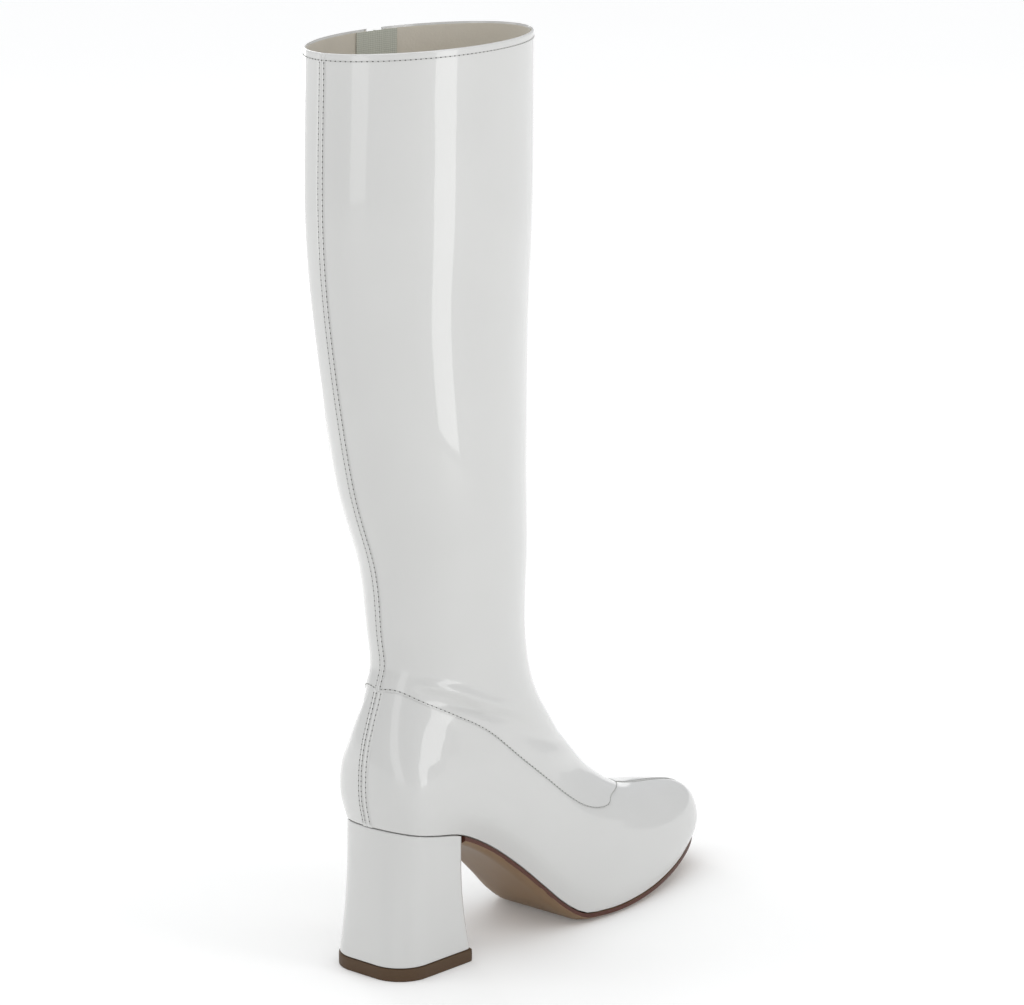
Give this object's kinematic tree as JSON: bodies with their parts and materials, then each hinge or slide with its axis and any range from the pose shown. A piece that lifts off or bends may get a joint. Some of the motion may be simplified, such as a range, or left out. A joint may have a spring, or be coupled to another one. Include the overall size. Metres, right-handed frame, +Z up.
{
  "type": "go go boot",
  "caption": "Knee-high white patent go go boot, right foot, with a rounded toe, a covered block heel and an inside zip with a swinging pull tab.",
  "frame": {"origin": "centre of the heel lift's bearing face, on the floor", "axes": "+X towards the toe, +Y to the inside of the leg (towards the other foot), +Z up along the shaft"},
  "size_m": [0.2636, 0.0877, 0.4332],
  "materials": {
    "patent": "high gloss patent",
    "lining": "matt lining",
    "outsole": "satin tan sole with a red-brown edge",
    "lift": "matt dark brown",
    "zip_tape": "woven",
    "zip_coil": "satin",
    "zip_metal": "plated"
  },
  "bodies": {
    "boot": {"upper": "patent", "insole": "lining", "outsole": "outsole", "heel_block": "patent", "heel_top_lift": "lift", "zip_tape": "zip_tape", "zip_chain": "zip_coil", "zip_slider": "zip_metal"},
    "zip_pull": {"zip_pull": "zip_metal"}
  },
  "joints": [
    {"name": "zip_pull_swing", "type": "hinge", "parent": "boot", "child": "zip_pull", "pos_m": [0.02863, 0.04466, 0.4194], "axis": [0.9928, -0.1202, 0], "range_deg": [-5, 150]}
  ]
}
